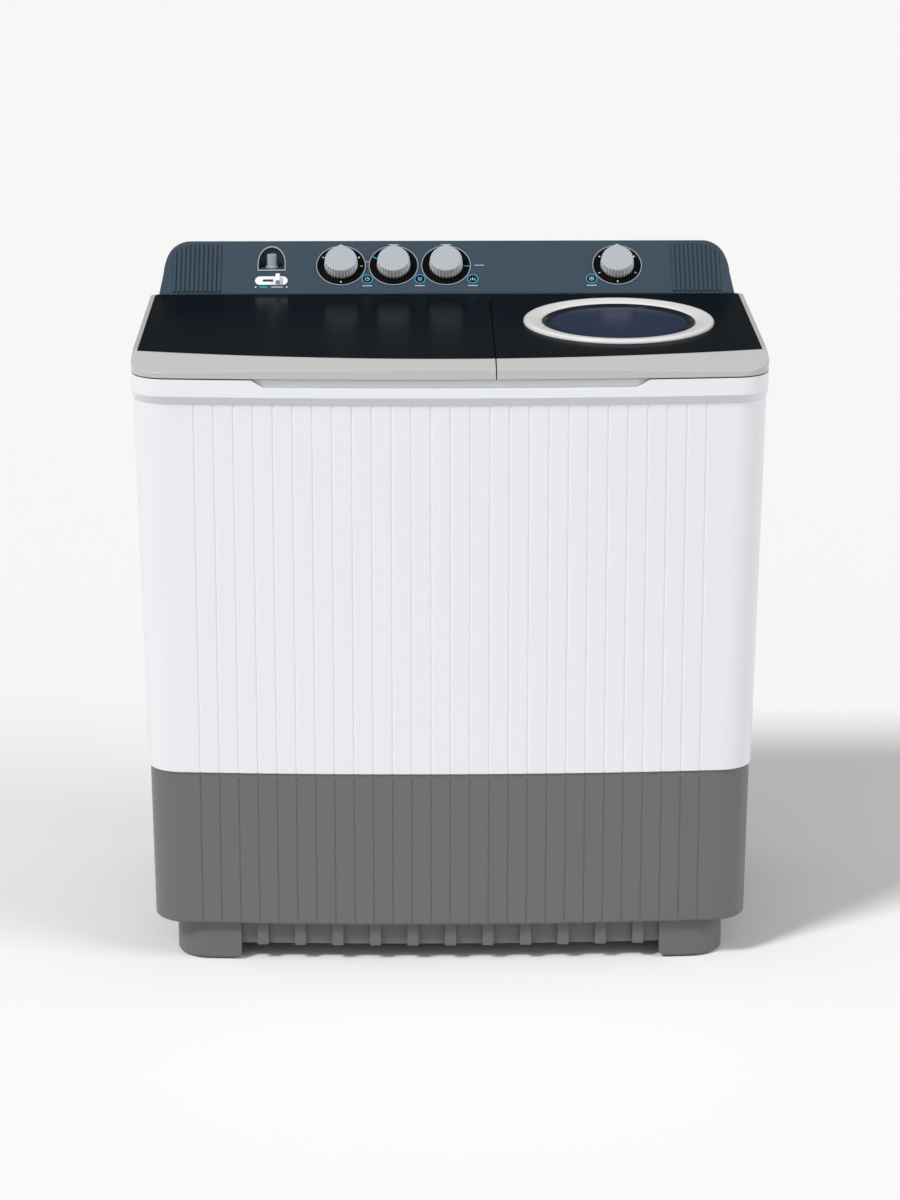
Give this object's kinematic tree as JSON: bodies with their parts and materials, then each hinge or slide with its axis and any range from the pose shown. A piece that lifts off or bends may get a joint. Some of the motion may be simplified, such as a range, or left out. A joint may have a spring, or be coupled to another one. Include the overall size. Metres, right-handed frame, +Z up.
{
  "type": "twin tub washing machine",
  "caption": "Twin tub washer with dark hinged lids over a wash tub and a spin basket, a sloped panel of pointer knobs and a grooved white cabinet on a grey base.",
  "frame": {"origin": "on the floor under the middle of the machine", "axes": "+Z up, +Y to the back with the control panel, +X to the user's right at the spin drier"},
  "size_m": [0.918, 0.55, 0.9948],
  "materials": {
    "grey_plastic": "grey moulded plastic",
    "white_plastic": "white moulded plastic",
    "light_grey_plastic": "satin light grey plastic",
    "smoked_panel": "dark smoked glossy panel",
    "blue_window": "blue tinted clear window",
    "slate_plastic": "slate blue satin plastic",
    "black_plastic": "black dial plate",
    "bright_trim": "bright trim rings",
    "knob_plastic": "silver grey plastic",
    "steel": "machined steel",
    "stainless": "perforated stainless steel",
    "alloy": "die-cast alloy",
    "rubber": "black rubber",
    "tub_plastic": "polypropylene tub",
    "blue_plastic": "blue moulded plastic",
    "motor_paint": "painted motor steel",
    "dark_plastic": "dark housing plastic"
  },
  "bodies": {
    "root": {"base": "grey_plastic", "foot_pads": "rubber", "cabinet": "white_plastic", "back_cover": "dark_plastic", "back_cover_screws": "steel", "top_frame": "white_plastic", "lid_hinge_pins": "steel", "control_panel": "slate_plastic", "panel_rear_cover": "dark_plastic", "dial_plates": "black_plastic", "bright_trims": "bright_trim", "timers": "dark_plastic", "rotary_switches": "dark_plastic", "water_inlet_spigot": "knob_plastic", "selector_plate": "white_plastic", "water_channel": "tub_plastic", "wash_tub": "tub_plastic", "spin_tub": "tub_plastic", "shaft_seal": "rubber", "gearbox": "alloy", "drive_belt": "rubber", "wash_motor": "motor_paint", "wash_motor_bracket": "steel", "spin_motor": "motor_paint", "spin_motor_plate": "steel", "spring_mounts": "rubber", "drain_valve": "tub_plastic", "drain_pipe": "rubber", "overflow_cover": "blue_plastic", "lint_filter": "blue_plastic", "lid_switch": "dark_plastic", "motor_capacitor": "dark_plastic", "cord_gland": "rubber"},
    "wash_lid": {"wash_lid_frame": "light_grey_plastic", "wash_lid_glass": "smoked_panel"},
    "spin_lid": {"spin_lid_frame": "light_grey_plastic", "spin_lid_glass": "smoked_panel", "spin_lid_ring": "light_grey_plastic", "spin_lid_window": "blue_window"},
    "pulsator": {"pulsator": "blue_plastic", "pulsator_screw": "blue_plastic", "wash_shaft": "steel", "wash_pulley": "alloy"},
    "wash_motor_rotor": {"wash_motor_pulley": "alloy"},
    "spin_basket": {"spin_basket": "stainless", "balance_ring": "tub_plastic", "spin_shaft": "steel", "brake_drum": "alloy"},
    "brake": {"brake_arm": "steel"},
    "water_selector": {"water_selector_lever": "white_plastic", "moving_spout": "tub_plastic"},
    "drain_stem": {"drain_valve_stem": "tub_plastic"},
    "wash_timer_knob": {"wash_timer_knob": "knob_plastic", "wash_timer_shaft": "steel"},
    "wash_mode_knob": {"wash_mode_knob": "knob_plastic", "wash_mode_shaft": "steel"},
    "drain_knob": {"drain_knob": "knob_plastic", "drain_shaft": "steel"},
    "spin_timer_knob": {"spin_timer_knob": "knob_plastic", "spin_timer_shaft": "steel"}
  },
  "joints": [
    {"name": "wash_lid_hinge", "type": "hinge", "parent": "root", "child": "wash_lid", "pos_m": [-0.4, 0.181, 0.92047], "axis": [-1, 0, 0], "range_deg": [0, 97]},
    {"name": "spin_lid_hinge", "type": "hinge", "parent": "root", "child": "spin_lid", "pos_m": [0.112, 0.181, 0.92047], "axis": [-1, 0, 0], "range_deg": [0, 97]},
    {"name": "wash_timer_turn", "type": "hinge", "parent": "root", "child": "wash_timer_knob", "pos_m": [-0.163, 0.23078, 0.96258], "axis": [0, 0.6553, -0.7554], "range_deg": [0, 300]},
    {"name": "wash_mode_turn", "type": "hinge", "parent": "root", "child": "wash_mode_knob", "pos_m": [-0.082, 0.23078, 0.96258], "axis": [0, 0.6553, -0.7554], "range_deg": [-60, 60]},
    {"name": "drain_knob_turn", "type": "hinge", "parent": "root", "child": "drain_knob", "pos_m": [-0.001, 0.23078, 0.96258], "axis": [0, 0.6553, -0.7554], "range_deg": [0, 90]},
    {"name": "spin_timer_turn", "type": "hinge", "parent": "root", "child": "spin_timer_knob", "pos_m": [0.263, 0.23078, 0.96258], "axis": [0, 0.6553, -0.7554], "range_deg": [0, 300]},
    {"name": "pulsator_spin", "type": "hinge", "parent": "root", "child": "pulsator", "pos_m": [-0.195, -0.037, 0.368], "axis": [0, 0, 1], "continuous": true},
    {"name": "wash_motor_spin", "type": "hinge", "parent": "root", "child": "wash_motor_rotor", "pos_m": [-0.033, -0.037, 0.296], "axis": [0, 0, 1], "continuous": true},
    {"name": "basket_spin", "type": "hinge", "parent": "root", "child": "spin_basket", "pos_m": [0.253, -0.008, 0.4], "axis": [0, 0, 1], "continuous": true},
    {"name": "brake_swing", "type": "hinge", "parent": "root", "child": "brake", "pos_m": [0.345, -0.07, 0.2635], "axis": [0, 0, 1], "range_deg": [0, 2.8]},
    {"name": "water_selector_slide", "type": "slide", "parent": "root", "child": "water_selector", "axis": [-1, 0, 0], "range_m": [0, 0.02]},
    {"name": "drain_valve_lift", "type": "slide", "parent": "root", "child": "drain_stem", "axis": [0, 0, 1], "range_m": [0, 0.01]}
  ],
  "couplings": [
    {"joint": "wash_motor_spin", "follows": "pulsator_spin", "ratio": 3.6538},
    {"joint": "brake_swing", "follows": "spin_lid_hinge", "ratio": 0.028837},
    {"joint": "drain_valve_lift", "follows": "drain_knob_turn", "m_per_rad": 0.0063656}
  ]
}
